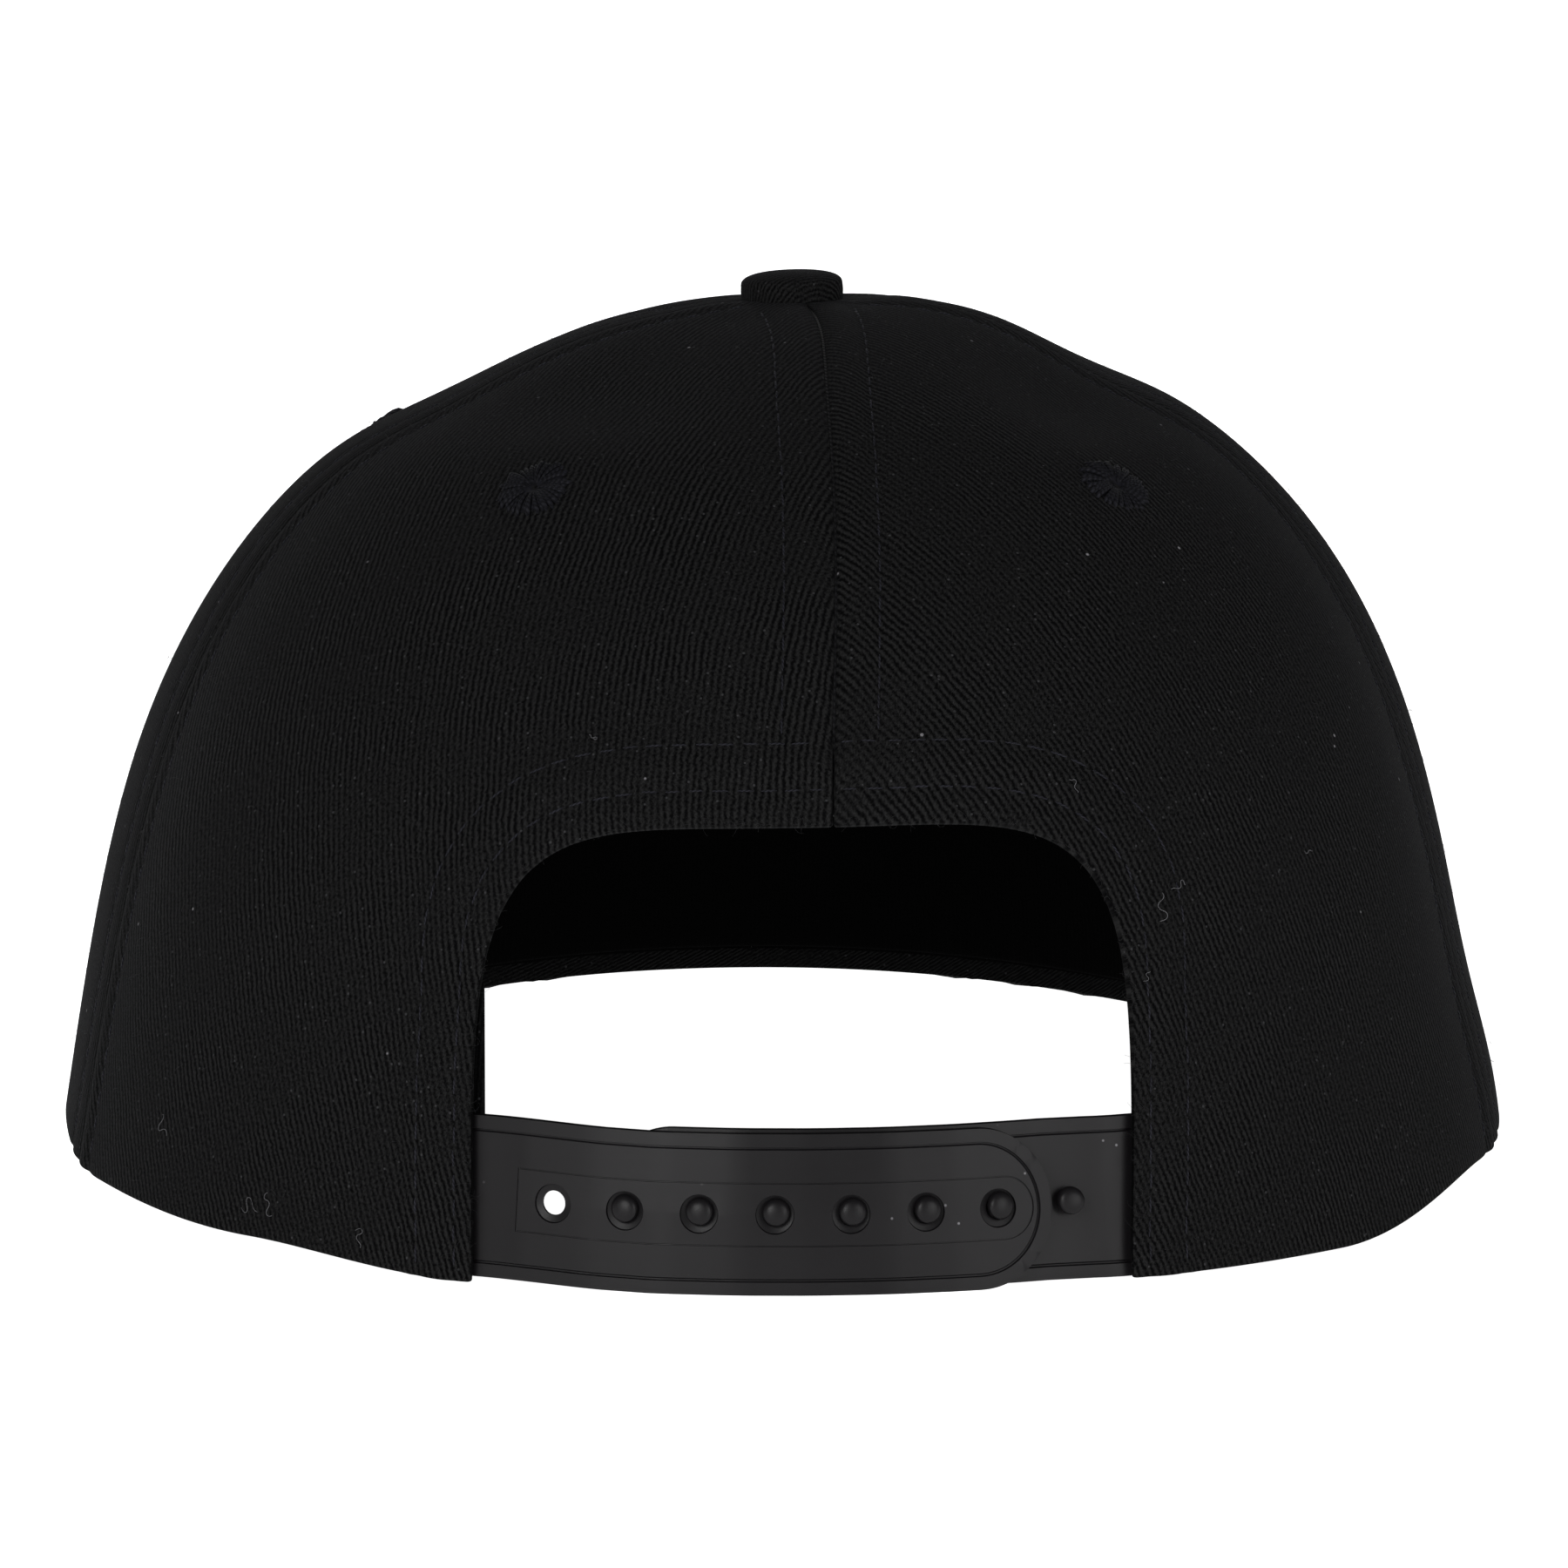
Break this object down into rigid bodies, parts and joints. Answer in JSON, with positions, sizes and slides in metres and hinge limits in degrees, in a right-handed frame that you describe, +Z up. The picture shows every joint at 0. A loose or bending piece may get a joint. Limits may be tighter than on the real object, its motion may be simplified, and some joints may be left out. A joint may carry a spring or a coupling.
{
  "type": "snapback cap",
  "caption": "Black twill cap with a curved brim, covered top button, stitched eyelets and an arched rear opening bridged by an adjustable plastic snap strap.",
  "frame": {"origin": "on the floor, under the middle of the cap's whole box", "axes": "+Z up, -Y out along the brim, +Y out of the rear opening and strap, +X towards the wearer's left"},
  "size_m": [0.1822, 0.2596, 0.1133],
  "materials": {
    "twill_cloth": "matte black cotton twill",
    "brim_cloth": "matte black cotton twill over a stiff core",
    "sweatband_cloth": "matte black cotton",
    "eyelet_thread": "black stitching thread, slightly blue",
    "button_cloth": "matte black cotton over a shaped button",
    "strap_plastic": "moulded, satin, very dark grey"
  },
  "bodies": {
    "root": {"panel_back_left": "twill_cloth", "panel_side_left": "twill_cloth", "panel_front_left": "twill_cloth", "panel_front_right": "twill_cloth", "panel_side_right": "twill_cloth", "panel_back_right": "twill_cloth", "eyelet_back_left": "eyelet_thread", "eyelet_side_left": "eyelet_thread", "eyelet_front_left": "eyelet_thread", "eyelet_front_right": "eyelet_thread", "eyelet_side_right": "eyelet_thread", "eyelet_back_right": "eyelet_thread", "button": "button_cloth", "brim": "brim_cloth", "sweatband": "sweatband_cloth", "snap_strap_holes": "strap_plastic", "snap_strap_pegs": "strap_plastic"}
  },
  "joints": []
}
